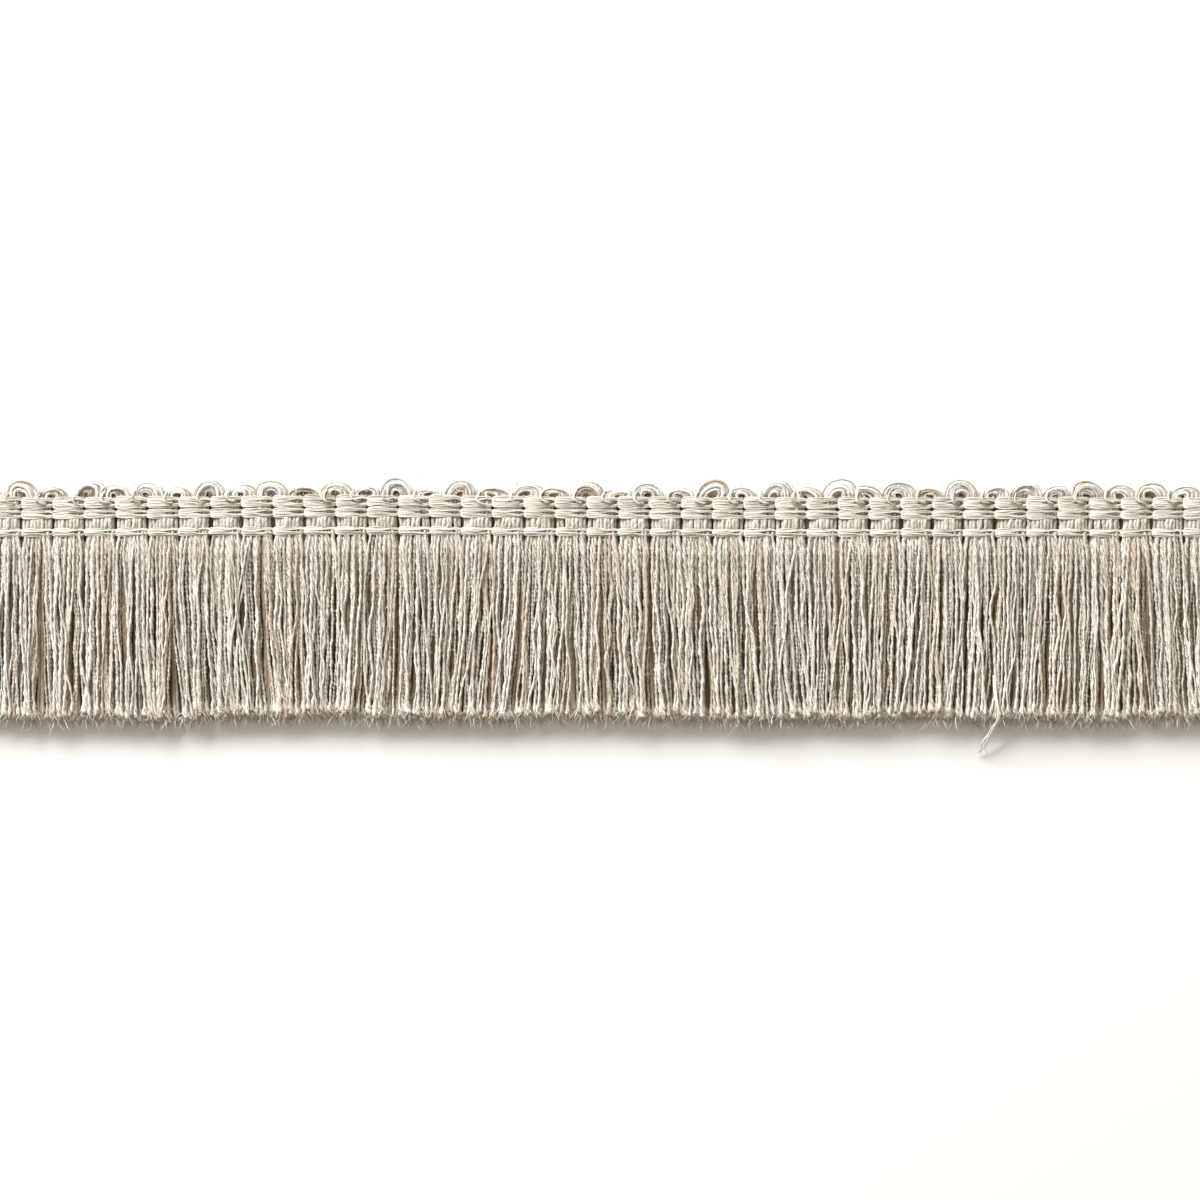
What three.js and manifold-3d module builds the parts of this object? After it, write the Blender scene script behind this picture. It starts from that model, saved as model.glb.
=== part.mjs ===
// A cut length of linen brush fringe, lying on its back.
// X runs along the trim, Y runs across it from the cut ends to the loops, and Z points away from the surface.
// The weft goes up through the woven heading in bundles, turns in a loop at the top edge and comes down
// again, and its long ends are the brush. Three bands, each of two warp yarns, bind the bundles.
import * as THREE from "three";
import { mergeVertices } from "three/addons/utils/BufferGeometryUtils.js";
import Module from "manifold-3d";

const wasm = await Module();
wasm.setup();

// Driving dimensions, in millimetres
const bundlePitch = 5.33;
const bundleCount = 40;
const headingHeight = 6.85;
const bundleThickness = 1.6;
const brushLength = 30.6;
const yarnGap = 0.3;
const sliverSize = 0.001;

// Heading, measured up from its lower edge. The brush is bound in a low strip under the lower band.
const trimLength = bundlePitch * bundleCount;
const bindingStrip = { low: -0.2, high: 1.25, thickness: 1.2 };
const groundLow = bindingStrip.high + yarnGap;

// A bundle's outline across the heading: how far from its gap, as a share of the pitch, and how high
const bundleOutline = [
  { share: 0.0, rise: 0.5 },
  { share: 0.16, rise: 1.25 },
  { share: 0.42, rise: bundleThickness },
  { share: 0.78, rise: 1.28 },
];

// The three warp bands: centre above the heading's lower edge, half the distance between the two yarns,
// and the width of one yarn where it floats over a bundle
const warpBands = [
  { name: "top_band", centre: 5.95, offset: 0.58, yarnWidth: 0.84 },
  { name: "middle_band", centre: 3.75, offset: 0.52, yarnWidth: 0.72 },
  { name: "lower_band", centre: 0.76, offset: 0.46, yarnWidth: 0.6 },
];
const warpThickness = 0.8;
const warpNarrowing = 0.72;
const warpSpread = 0.08;
const warpCrownShare = 0.4;
const warpDip = 0.4;

// Loops over the heading's top edge: tall and low ones take turns
const tallLoop = { reach: 1.8, rise: 1.6, width: 1.5, steps: 5, heightChange: 0.4 };
const lowLoop = { reach: 1.6, rise: 0.75, width: 0.9, steps: 4, heightChange: 0.4 };
const loopSink = 0.5;
const loopThickness = 0.9;
const loopMiddle = 0.8;

// Brush: two flat locks of each bundle lie on the surface, and four ridged ones lie on them
const underLocks = { count: 2, width: 2.1, steps: 3 };
const overLocks = { count: 4, width: 0.92, steps: 3 };
const rootThickness = 0.36;
const rootUnevenness = 0.06;
const underThickness = 1.35;
const overThickness = 1.3;
const liftLength = 5;
const tipThinning = 0.15;
const tipUnevenness = 0.9;
const stepGrowth = 1.5;
const longSway = { reach: 1.1, wave: 14 };
const shortSway = { reach: 0.35, wave: 5.1 };

// An even value from 0 to 1 that belongs to a whole number
function chance(seed) {
  const spun = Math.sin(seed * 127.1 + 311.7) * 43758.5453;
  return spun - Math.floor(spun);
}

// A closed geometry as a solid
function solidOf(geometry) {
  const bare = geometry.clone();
  bare.deleteAttribute("normal");
  bare.deleteAttribute("uv");
  const merged = mergeVertices(bare, 1e-4);
  return new wasm.Manifold(
    new wasm.Mesh({
      numProp: 3,
      vertProperties: merged.attributes.position.array,
      triVerts: new Uint32Array(merged.index.array),
    }),
  );
}

// Solids fused into one, as a geometry without slivers
function fuse(solids) {
  const mesh = wasm.Manifold.union(solids).simplify(sliverSize).getMesh();
  const geometry = new THREE.BufferGeometry();
  geometry.setAttribute("position", new THREE.BufferAttribute(mesh.vertProperties, 3));
  geometry.setIndex(new THREE.BufferAttribute(mesh.triVerts, 1));
  geometry.computeVertexNormals();
  return geometry;
}

// The three sections that a yarn or lock can have, each in a unit box along +X
function straightBar(section, steps) {
  if (section === "flat") return new THREE.BoxGeometry(1, 1, 1, steps, 1, 1);
  const sides = section === "ridged" ? 3 : 4;
  const geometry = new THREE.CylinderGeometry(0.5, 0.5, 1, sides, steps).rotateZ(-Math.PI / 2);
  geometry.center();
  const size = geometry.boundingBox.getSize(new THREE.Vector3());
  return geometry.scale(1 / size.x, 1 / size.y, 1 / size.z);
}

// A bar laid along a path. path(share) gives its centre, the way across it on the left of its run, and its
// width and thickness, all at that share of its length.
function layBar(section, steps, path) {
  const geometry = straightBar(section, steps);
  const points = geometry.attributes.position;
  for (let i = 0; i < points.count; i += 1) {
    const { x, y, z, across, width, thickness } = path(points.getX(i) + 0.5);
    const side = points.getY(i) * width;
    const rise = points.getZ(i) * thickness;
    points.setXYZ(i, x + across.x * side, y + across.y * side, z + rise);
  }
  geometry.computeBoundingBox();
  return geometry;
}

// The weft bundles side by side, as a flat-backed strip with a rib for each of them
function ribbedStrip() {
  const outline = new THREE.Shape();
  outline.moveTo(-trimLength / 2, 0);
  outline.lineTo(trimLength / 2, 0);
  outline.lineTo(trimLength / 2, bundleOutline[0].rise);
  for (let bundle = bundleCount - 1; bundle >= 0; bundle -= 1) {
    for (const point of bundleOutline.toReversed()) {
      outline.lineTo((bundle + point.share) * bundlePitch - trimLength / 2, point.rise);
    }
  }
  const strip = new THREE.ExtrudeGeometry(outline, { depth: headingHeight - groundLow, bevelEnabled: false });
  return strip.rotateX(Math.PI / 2).translate(0, headingHeight, 0);
}

// One turn of the weft over the heading's top edge, above the gap between two bundles
function loop(gap, kind) {
  const centre = gap * bundlePitch - trimLength / 2;
  const rise = kind.rise + (chance(gap) - 0.5) * kind.heightChange;
  return layBar("round", kind.steps, (share) => {
    const angle = Math.PI * share;
    return {
      x: centre + kind.reach * Math.cos(angle),
      y: headingHeight - loopSink + (rise + loopSink) * Math.sin(angle),
      z: loopMiddle,
      across: { x: -Math.cos(angle), y: -Math.sin(angle) },
      width: kind.width,
      thickness: loopThickness,
    };
  });
}

// The ground of the heading, with its loops
function headingGround() {
  const solids = [solidOf(ribbedStrip())];
  for (let gap = 1; gap < bundleCount; gap += 1) {
    solids.push(solidOf(loop(gap, gap % 2 === 0 ? tallLoop : lowLoop)));
  }
  return fuse(solids);
}

// How far to the side a lock's tip has swayed from its root: slow enough along the trim for locks to stay apart
function sway(x) {
  return longSway.reach * Math.sin(x / longSway.wave) + shortSway.reach * Math.sin(x / shortSway.wave + 1);
}

// One lock of the brush: rooted at x, lifted onto the lower layer when it is an upper one
function lock(section, kind, seed, x, upper) {
  const length = brushLength - chance(seed) * tipUnevenness;
  const full = upper ? overThickness : underThickness;
  const root = rootThickness + chance(seed + 0.5) * rootUnevenness;
  return layBar(section, kind.steps, (share) => {
    const along = Math.max(share, 0) ** stepGrowth;
    const down = along * length;
    const lifted = THREE.MathUtils.smoothstep(down, 0, liftLength);
    const thickness = THREE.MathUtils.lerp(root, full * (1 - tipThinning * along), lifted);
    const floor = upper ? THREE.MathUtils.lerp(root, underThickness, lifted) + yarnGap : 0;
    return {
      x: x + sway(x) * along * along,
      y: -down,
      z: floor + thickness / 2,
      across: { x: 1, y: 0 },
      width: kind.width,
      thickness,
    };
  });
}

// The strip that the brush is bound in, flat on the surface
function binding() {
  const { low, high, thickness } = bindingStrip;
  return new THREE.BoxGeometry(trimLength, high - low, thickness).translate(0, (low + high) / 2, thickness / 2);
}

// The brush: every lock is fused at its root into the binding strip
function brush() {
  const solids = [solidOf(binding())];
  const layers = [
    { section: "flat", kind: underLocks, upper: false },
    { section: "ridged", kind: overLocks, upper: true },
  ];
  for (const { section, kind, upper } of layers) {
    const lockPitch = bundlePitch / kind.count;
    for (let i = 0; i < bundleCount * kind.count; i += 1) {
      const x = (i + 0.5) * lockPitch - trimLength / 2;
      const seed = upper ? i : i + bundleCount * overLocks.count;
      solids.push(solidOf(lock(section, kind, seed, x, upper)));
    }
  }
  return fuse(solids);
}

// One yarn of a warp band: it floats over each bundle and dips into the gap after it
function warpYarn(band, side) {
  const crown = bundleThickness + yarnGap + warpThickness / 2;
  const steps = bundleCount * 2;
  return layBar("round", steps, (share) => {
    const station = share * steps;
    const bundle = Math.floor(station / 2);
    const within = station / 2 - bundle;
    const dip = Math.abs(1 - 2 * within);
    const shift = (warpCrownShare - 0.5) * (1 - dip);
    return {
      x: (bundle + within + shift) * bundlePitch - trimLength / 2,
      y: band.centre + side * (band.offset + warpSpread * dip),
      z: crown - warpDip * dip,
      across: { x: 0, y: 1 },
      width: band.yarnWidth * THREE.MathUtils.lerp(1, warpNarrowing, dip),
      thickness: warpThickness,
    };
  });
}

const linen = new THREE.MeshStandardMaterial({ color: 0xcfc5b4, roughness: 0.85, metalness: 0 });
const warpLinen = new THREE.MeshStandardMaterial({ color: 0xe6ddca, roughness: 0.75, metalness: 0 });

const trim = new THREE.Group();
function addPiece(name, geometry, material) {
  const piece = new THREE.Mesh(geometry, material);
  piece.name = name;
  trim.add(piece);
}

addPiece("heading_ground", headingGround(), linen);
addPiece("brush", brush(), linen);
for (const band of warpBands) {
  addPiece(`${band.name}_upper_yarn`, warpYarn(band, 1), warpLinen);
  addPiece(`${band.name}_lower_yarn`, warpYarn(band, -1), warpLinen);
}

// The part's origin is the middle of its box on the surface
const reach = new THREE.Box3().setFromObject(trim);
const middle = reach.getCenter(new THREE.Vector3());
trim.position.set(-middle.x, -middle.y, -reach.min.z);

const part = new THREE.Group();
part.add(trim);

export default part;
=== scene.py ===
"""A cut length of linen brush fringe, lying on its back and seen from straight above.

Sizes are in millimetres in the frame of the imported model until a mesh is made. X runs along the trim, Y runs
across it from the cut ends to the loops, and Z points up from the surface.
"""
import math

import bpy
import numpy as np
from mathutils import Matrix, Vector


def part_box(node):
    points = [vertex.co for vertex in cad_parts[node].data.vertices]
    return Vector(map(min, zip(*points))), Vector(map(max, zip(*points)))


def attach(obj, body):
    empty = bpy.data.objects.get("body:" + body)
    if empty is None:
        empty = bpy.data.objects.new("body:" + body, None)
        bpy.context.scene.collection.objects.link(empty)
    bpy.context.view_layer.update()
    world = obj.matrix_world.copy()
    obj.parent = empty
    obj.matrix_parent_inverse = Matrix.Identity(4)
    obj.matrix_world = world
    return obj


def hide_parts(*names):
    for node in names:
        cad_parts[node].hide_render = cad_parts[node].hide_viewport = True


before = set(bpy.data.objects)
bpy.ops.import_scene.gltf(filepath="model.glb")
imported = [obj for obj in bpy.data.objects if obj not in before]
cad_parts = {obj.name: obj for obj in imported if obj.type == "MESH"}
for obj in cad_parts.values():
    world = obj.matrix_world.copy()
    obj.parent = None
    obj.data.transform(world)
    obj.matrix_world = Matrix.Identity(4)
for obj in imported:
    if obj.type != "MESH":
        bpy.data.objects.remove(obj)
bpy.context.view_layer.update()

MM = 0.001
TURN = 2.0 * math.pi

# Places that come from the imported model
BUNDLES = 40
GROUND_LOW, GROUND_HIGH = (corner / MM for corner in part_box("heading_ground"))
BRUSH_LOW, BRUSH_HIGH = (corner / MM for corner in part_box("brush"))
LEFT_END = GROUND_LOW.x
PITCH = (GROUND_HIGH.x - GROUND_LOW.x) / BUNDLES
TRIM_LENGTH = PITCH * BUNDLES
MIDDLE = LEFT_END + TRIM_LENGTH / 2
HEADING_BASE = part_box("lower_band_lower_yarn")[0].y / MM
HEADING_HEIGHT = 6.85
BRUSH_LENGTH = HEADING_BASE - BRUSH_LOW.y
BRUSH_THICKNESS = BRUSH_HIGH.z

# Where each piece's random numbers start
SEEDS = {
    "brush": 100, "cut_ends": 21, "brush_fluff": 22, "fly_away": 23, "stray": 24,
    "weft": 31, "loops": 32, "edge_fluff": 33, "eye_strands": 34, "bands": 41,
    "locks": 51, "tufts": 52,
}

# The brush in layers, front to back. root, crest, low and high are heights of the threads' middles as shares
# of the brush's thickness: under the band, where they bulge just below it, and the range they settle in. spin
# is in turns a millimetre, and short is how far the ends stop short of the longest. The shades are painted
# shade: root_shade darkens the threads under the band, shade varies at random and darkens the threads that
# lie deep in the brush, and tip_shade is the painted shade they turn to near the cut ends. fray describes the
# fibres at the cut ends.
BRUSH_LAYERS = [
    {
        "name": "brush_crossing_threads", "per_bundle": 1, "steps": 60, "sides": 6, "thickness": 0.48,
        "root": 0.68, "crest": 1.06, "low": 1.06, "high": 1.14,
        "jitter": 0.4, "wander": 0.5, "gather": 0.2, "lean": 1.9, "short": 0.9, "flare": 0.9,
        "spin": 0.32, "root_shade": 0.76, "shade": (0.9, 1.0), "tip_shade": 0.88,
        "fray": {"per_thread": 12, "spread": 0.38, "longest": 1.2, "tones": (0.2, 0.75)},
    },
    {
        "name": "brush_front_threads", "per_bundle": 6, "steps": 66, "sides": 6, "thickness": 0.6,
        "root": 0.72, "crest": 0.94, "low": 0.94, "high": 1.07,
        "jitter": 0.4, "wander": 0.42, "gather": 0.42, "lean": 0.78, "short": 0.8, "flare": 1.2,
        "spin": 0.3, "root_shade": 0.72, "shade": (0.86, 1.0), "tip_shade": 0.9,
        "fray": {"per_thread": 11, "spread": 0.38, "longest": 1.2, "tones": (0.2, 0.75)},
    },
    {
        "name": "brush_upper_threads", "per_bundle": 9, "steps": 44, "sides": 5, "thickness": 0.62,
        "root": 0.66, "crest": 0.86, "low": 0.78, "high": 0.94,
        "jitter": 0.42, "wander": 0.36, "gather": 0.28, "lean": 0.56, "short": 0.5, "flare": 1.1,
        "spin": 0.28, "root_shade": 0.72, "shade": (0.84, 1.0), "tip_shade": 0.92,
        "fray": {"per_thread": 7, "spread": 0.42, "longest": 1.3, "tones": (0.2, 0.7)},
    },
    {
        "name": "brush_lower_threads", "per_bundle": 8, "steps": 22, "sides": 5, "thickness": 0.78,
        "root": 0.44, "crest": 0.62, "low": 0.5, "high": 0.64,
        "jitter": 0.2, "wander": 0.22, "gather": 0.08, "lean": 0.2, "short": 0.1, "flare": 0.2,
        "spin": 0.0, "root_shade": 0.68, "shade": (0.34, 0.62), "tip_shade": 1.0,
        "fray": {"per_thread": 7, "spread": 0.45, "longest": 2.3, "tones": (0.45, 0.9)},
    },
    {
        "name": "brush_back_threads", "per_bundle": 7, "steps": 11, "sides": 5, "thickness": 0.86,
        "root": 0.16, "crest": 0.3, "low": 0.17, "high": 0.24,
        "jitter": 0.1, "wander": 0.1, "gather": 0.0, "lean": 0.05, "short": 0.1, "flare": 0.2,
        "spin": 0.0, "root_shade": 0.7, "shade": (0.4, 0.7), "tip_shade": 1.0,
        "fray": {"per_thread": 5, "spread": 0.45, "longest": 2.3, "tones": (0.45, 0.9)},
    },
]
FRONT_LAYER = "brush_front_threads"
BUNDLE_WIDTH = 0.85
ROOT_DEPTH = 0.8
ROOT_SPREAD = 0.3
LIFT_LENGTH = 4.0
SETTLE_LENGTH = 11.0
GAP_CLOSING_LENGTH = 2.6
TIP_SINK = 0.05
FLATTENING = 0.72

# The shape of the whole trim, of the brush's swing to the side and of its cut edge
BOW = {"reach": 0.38, "centre": -38.0, "width": 38.0, "drop": 0.16}
SWAYS = [
    {"reach": 1.1, "wave": 14.0, "start": 0.0},
    {"reach": 0.35, "wave": 5.1, "start": 1.0},
]
CUT_EDGE = [
    {"reach": 0.2, "rate": 1.7, "start": 0.0},
    {"reach": 0.25, "rate": 0.63, "start": 1.0},
]
LONGEST_PAST_MODEL = 0.55
SHORT_SHARES = (0.4, 1.6)

# Small locks that close on the way down and part again, and wide tufts at the ends, as shares of the way down
LOCKS = {"sizes": (0.9, 2.3), "closed_at": (0.3, 0.6), "open_at": 1.15, "opening": 0.4, "strength": 0.7}
TUFTS = {"sizes": (2.4, 6.2), "start": 0.4, "closing": 0.6}

# How each thread wanders on its way, with the lowest and highest number of waves in each part of it
SLOW_WAVES = [(0.5, 1.0), (1.0, 2.2), (2.2, 3.6)]
FREE_AFTER = 0.4
FINE_WANDER = {"reach": 0.045, "waves": [(6.0, 9.0), (9.0, 14.0)]}
HEIGHT_WANDER = {"reach": 0.1, "waves": [(0.8, 1.6), (2.0, 3.5)]}
THICKNESS_WANDER = {"reach": 0.16, "waves": [(3.0, 6.0), (7.0, 13.0)]}
WEFT_WANDER = {"reach": 0.1, "waves": [(0.5, 1.5), (1.5, 3.0)]}

# Random factors around 1: the spread, the lowest and the highest
BRUSH_THICKNESSES = (0.13, 0.7, 1.35)
WEFT_THICKNESSES = (0.1, 0.8, 1.25)
LOOP_THICKNESSES = (0.12, 0.7, 1.3)
STRAND_THICKNESSES = (0.08, 0.8, 1.2)
STITCH_FULLNESS = (0.05, 0.88, 1.1)

# The cut ends swell and turn to the tip's painted shade. The threads at both ends of the trim get no
# painted depth shade, so they are as light as its face.
FLARE_LENGTH = 2.6
FLARE_SHARES = (0.4, 1.3)
SWELLING_SINK = 0.8
TIP_SHADE_LENGTH = 4.2
END_THREADS = 2
END_SHADE = 0.85

# The frayed fibres at the cut ends
FRAY_DIRECTIONS = (1.0, 0.25, 0.8)
FRAY_START = (0.2, 1.2)
FRAY_LENGTHS = (0.5, 1.0)
FRAY_BEND = 0.16
FRAY_LOWEST = 0.08
FRAY_HALF_WIDTHS = (0.07, 0.07, 0.05, 0.015)

# The weft in the heading: threads on the face of each bundle, behind them, and on the flat back. crown and
# edge are heights at a bundle's middle and sides, and swell is added in the bare strip. shade is painted
# shade and varies at random: the middle row is painted dark so that the gaps between bundles look deep, and
# covered_shade is painted shade on what the bands cover.
WEFT_ROWS = [
    {
        "per_bundle": 8, "crown": 1.66, "edge": 1.0, "swell": 0.36, "thickness": 0.8, "width": 0.88,
        "shade": (0.68, 0.87), "covered_shade": 0.92, "sides": 6,
    },
    {
        "per_bundle": 6, "crown": 0.9, "edge": 0.8, "swell": 0.0, "thickness": 0.9, "width": 1.0,
        "shade": (0.2, 0.3), "covered_shade": 1.0, "sides": 4,
    },
    {
        "per_bundle": 6, "crown": 0.45, "edge": 0.45, "swell": 0.0, "thickness": 0.86, "width": 0.96,
        "shade": (0.7, 0.95), "covered_shade": 1.0, "sides": 4,
    },
]
# Heights above the heading's base that a weft thread passes through, and the bare strip between two bands
WEFT_STATIONS = np.array([0.1, 0.6, 1.1, 1.4, 1.8, 2.3, 2.75, 3.05, 3.5, 4.6, 5.6, 6.6])
BARE_STRIP = {"low": 1.3, "high": 2.85, "edge": 0.3}
WEFT_JITTER = {"place": 0.014, "width": 0.025, "height": 0.045}
WEFT_ROUNDING = 2.5
SWELL_ROUNDING = 0.55
# Painted shade on each bundle's last thread beside the gap, and no painted shade darker than TOP_SHADE at the
# rows' top ends, where the loops begin
LAST_THREAD = 0.9
LAST_THREAD_SHADE = 0.86
TOP_SHADE = 0.75
HEADING_TONES = (0.5, 1.0)

# Warp bands: centre above the heading's base, whole width across the band, and how much higher than the top
# band it lies. crown is how much lower its outer strands lie than its middle.
BANDS = [
    {
        "name": "top_band_stitches", "centre": 5.68, "width": 2.0, "strands": 8,
        "lift": 0.0, "crown": 0.05, "nodes": ("top_band_upper_yarn", "top_band_lower_yarn"),
    },
    {
        "name": "middle_band_stitches", "centre": 3.74, "width": 1.58, "strands": 7,
        "lift": 0.1, "crown": 0.05, "nodes": ("middle_band_upper_yarn", "middle_band_lower_yarn"),
    },
    {
        "name": "lower_band_stitches", "centre": 0.64, "width": 1.42, "strands": 6,
        "lift": 0.23, "crown": 0.26, "nodes": ("lower_band_upper_yarn", "lower_band_lower_yarn"),
    },
]
# One chain stitch over a bundle, from where it comes up to where it turns in under the next stitch. along is
# a share of the pitch. spread and eye are shares of half the band's width: how far apart the strands lie, and
# how far they part round the eye. height is of the strands' middles, size scales their thickness, and shade
# is painted shade, a little darker where the stitch comes up and more so where it turns in towards the eye.
STITCH = [
    {"along": -0.03, "spread": 0.34, "eye": 0.0, "height": 1.3, "size": 0.92, "shade": 0.94},
    {"along": 0.01, "spread": 0.66, "eye": 0.0, "height": 1.8, "size": 0.96, "shade": 1.0},
    {"along": 0.06, "spread": 0.96, "eye": 0.0, "height": 2.06, "size": 1.0, "shade": 1.03},
    {"along": 0.24, "spread": 1.06, "eye": 0.0, "height": 2.22, "size": 1.0, "shade": 1.03},
    {"along": 0.46, "spread": 1.0, "eye": 0.03, "height": 2.2, "size": 1.0, "shade": 1.0},
    {"along": 0.66, "spread": 0.68, "eye": 0.25, "height": 2.08, "size": 0.88, "shade": 0.94},
    {"along": 0.82, "spread": 0.5, "eye": 0.4, "height": 1.96, "size": 0.84, "shade": 0.88},
    {"along": 0.95, "spread": 0.54, "eye": 0.26, "height": 1.86, "size": 0.84, "shade": 0.88},
    {"along": 1.06, "spread": 0.46, "eye": 0.1, "height": 1.6, "size": 0.8, "shade": 0.88},
]
STITCH_STEPS = 13
STITCH_JITTER = {"tilt": 0.06, "shift": 0.014, "across": 0.025, "height": 0.028}
TILT_CENTRE = 0.4
EYE_SIZES = (0.8, 1.2)
CROWN_ROUNDING = 2.2
STRAND_OVERLAP = 1.34
STRAND_SIDES = 5
STRAND_FLATNESS = 0.7
STRAND_SHADES = (0.88, 1.08)
# Painted shade on the strands at each band's upper edge
UPPER_EDGE_PAINTED_SHADE = 0.32

# Loops over the top edge, tall and low by turns, and the rings of one nest as shares of its outer ring
LOOPS = [
    {"first": 2, "reach": 2.65, "rise": 2.42, "growth": (0.12, 0.6, 1.2)},
    {"first": 1, "reach": 2.25, "rise": 1.4, "growth": (0.22, 0.6, 1.2)},
]
# Each ring's shade is painted shade, varying at random: the thin rings are darker, as in the creases between
# the wide ones, and the innermost is dark as the hole at the loop's base
LOOP_RINGS = [
    {"share": 1.0, "kept": 1.0, "thickness": 0.4, "shade": (0.46, 0.72)},
    {"share": 0.88, "kept": 1.0, "thickness": 0.6, "shade": (0.86, 1.0)},
    {"share": 0.78, "kept": 0.7, "thickness": 0.34, "shade": (0.5, 0.75)},
    {"share": 0.67, "kept": 1.0, "thickness": 0.62, "shade": (0.82, 1.0)},
    {"share": 0.55, "kept": 0.8, "thickness": 0.36, "shade": (0.45, 0.7)},
    {"share": 0.43, "kept": 1.0, "thickness": 0.6, "shade": (0.72, 0.95)},
    {"share": 0.27, "kept": 1.0, "thickness": 0.5, "shade": (0.55, 0.75)},
    {"share": 0.14, "kept": 1.0, "thickness": 0.44, "shade": (0.14, 0.24)},
]
# Points of one arch from its right foot to its left one: side is a share of its reach, up is a share of its
# rise above the heading's edge or millimetres below it, and height scales how high it lies
ARCH = [
    {"side": 0.92, "up": -0.6, "height": 1.2},
    {"side": 1.0, "up": -0.1, "height": 1.1},
    {"side": 0.9, "up": 0.42, "height": 1.0},
    {"side": 0.58, "up": 0.84, "height": 1.0},
    {"side": 0.0, "up": 1.02, "height": 1.0},
    {"side": -0.58, "up": 0.84, "height": 1.0},
    {"side": -0.9, "up": 0.42, "height": 1.0},
    {"side": -1.0, "up": -0.1, "height": 1.1},
    {"side": -0.92, "up": -0.6, "height": 1.2},
]
ARCH_STEPS = 19
LOOP_SIDES = 6
LOOP_LEAN = 0.3
LOOP_DRIFT = (0.25, 0.35)
CORE_LEFT_OF_GAP = 0.3
RING_JITTER = {"size": 0.035, "rise": 0.05, "place": 0.08, "side": 0.06, "tip": 0.14, "height": 0.05}
RING_LEVELS = (0.7, 1.4)
# Painted shade darkens the loops' feet, where they meet the band
FOOT_HEIGHT = 0.9
FOOT_SHADE = 0.74

# Where a loop's strand comes down over the top band and dives into its eye, from the gap and the base
EYE_STRAND = [
    {"left": 2.0, "up": 7.7, "height": 1.3},
    {"left": 2.45, "up": 7.0, "height": 2.1},
    {"left": 2.5, "up": 6.4, "height": 2.52},
    {"left": 2.2, "up": 5.95, "height": 2.6},
    {"left": 1.75, "up": 5.72, "height": 2.5},
    {"left": 1.25, "up": 5.66, "height": 2.1},
    {"left": 0.95, "up": 5.68, "height": 1.5},
]
EYE_STRANDS_PER_GAP = 2
EYE_STRANDS_KEPT = 0.7
EYE_STRAND_STEPS = 18
EYE_STRAND_SIDES = 5
EYE_STRAND_JITTER = {"reach": 0.12, "lift": 0.12, "up": 0.05}
EYE_STRAND_HALF_WIDTHS = (0.12, 0.2)
EYE_STRAND_SHADES = (0.7, 1.0)

# Loose fibres: how many, how long, how thick and how wavy they are
FIBRE_SIDES = 3
FIBRE_STEPS = 6
FIBRE_TAPER = 0.7
FIBRE_WAVES = (0.6, 1.6)
FIBRE_CLEARANCE = 1.2
EDGE_FLUFF = {
    "count": 700, "up": (-0.2, 2.0), "height": (0.5, 1.8), "across": 0.8, "upward": (0.1, 1.0),
    "lift": (0.1, 0.3), "reach": (0.4, 1.8), "half": 0.055, "curl": 0.3, "tones": (0.3, 1.0),
}
BRUSH_FLUFF = {
    "count": 1400, "first_step": 4, "across": 0.6, "lengthways": 1.0, "lift": (0.0, 0.35),
    "reach": (0.6, 2.2), "half": 0.035, "curl": 0.22, "tones": (0.3, 1.0),
}
FLY_AWAY = {
    "count": 46, "across": 0.8, "downward": (-1.0, -0.3), "sink": -0.35, "reach": (1.6, 5.0),
    "half": 0.035, "curl": 0.3, "tones": (0.5, 1.0), "steps": 12,
}

# One thread has slipped out of the brush
STRAY_THREAD = [
    {"x": 69.1, "down": 23.5, "height": 2.6},
    {"x": 69.3, "down": 27.0, "height": 3.35},
    {"x": 69.8, "down": 30.4, "height": 3.3},
    {"x": 68.9, "down": 32.8, "height": 2.6},
    {"x": 67.7, "down": 35.0, "height": 1.5},
    {"x": 66.8, "down": 36.6, "height": 0.6},
]
STRAY_STRANDS = 6
STRAY_STEPS = 26
STRAY_SIDES = 4
STRAY_SPREAD = {"start": 0.08, "growth": 0.025, "height": 0.04}
STRAY_HALF_WIDTHS = (0.16, 0.07)
STRAY_LOWEST = 0.1
STRAY_TONES = (0.9, 1.0)

# Colours as places on a ramp, from 0 to 1, with the colour at each
BRUSH_HUES = [
    (0.0, (0.61, 0.542, 0.452)),
    (0.2, (0.75, 0.706, 0.645)),
    (0.4, (0.832, 0.802, 0.782)),
    (0.6, (0.82, 0.812, 0.774)),
    (0.8, (0.79, 0.784, 0.772)),
    (1.0, (0.87, 0.855, 0.836)),
]
LOOP_HUES = [
    (0.0, (0.71, 0.685, 0.65)),
    (0.5, (0.8, 0.787, 0.765)),
    (1.0, (0.87, 0.86, 0.842)),
]
WARP_HUES = [
    (0.0, (0.7, 0.67, 0.615)),
    (0.5, (0.75, 0.73, 0.685)),
    (1.0, (0.785, 0.775, 0.74)),
]
FIBRE_HUES = [
    (0.0, (0.44, 0.35, 0.235)),
    (0.5, (0.62, 0.55, 0.455)),
    (1.0, (0.78, 0.745, 0.69)),
]
# Painted shade: the colour that a thread's shade multiplies its hue by, warm brown where it is dark
PAINTED_SHADES = [
    (0.15, (0.15, 0.09, 0.05)),
    (0.5, (0.56, 0.46, 0.36)),
    (0.7, (0.75, 0.742, 0.728)),
    (1.0, (1.0, 1.0, 1.0)),
]
STREAKS = [
    (0.3, (0.56, 0.5, 0.42)),
    (0.5, (0.93, 0.92, 0.9)),
    (0.7, (1.1, 1.1, 1.1)),
]
CLOUDS = [
    (0.3, (0.78, 0.75, 0.7)),
    (0.62, (1.06, 1.06, 1.06)),
]
# Painted shade in the grooves between plies
PAINTED_GROOVE_SHADES = [
    (0.1, (0.55, 0.49, 0.41)),
    (0.6, (1.0, 1.0, 1.0)),
]

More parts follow.
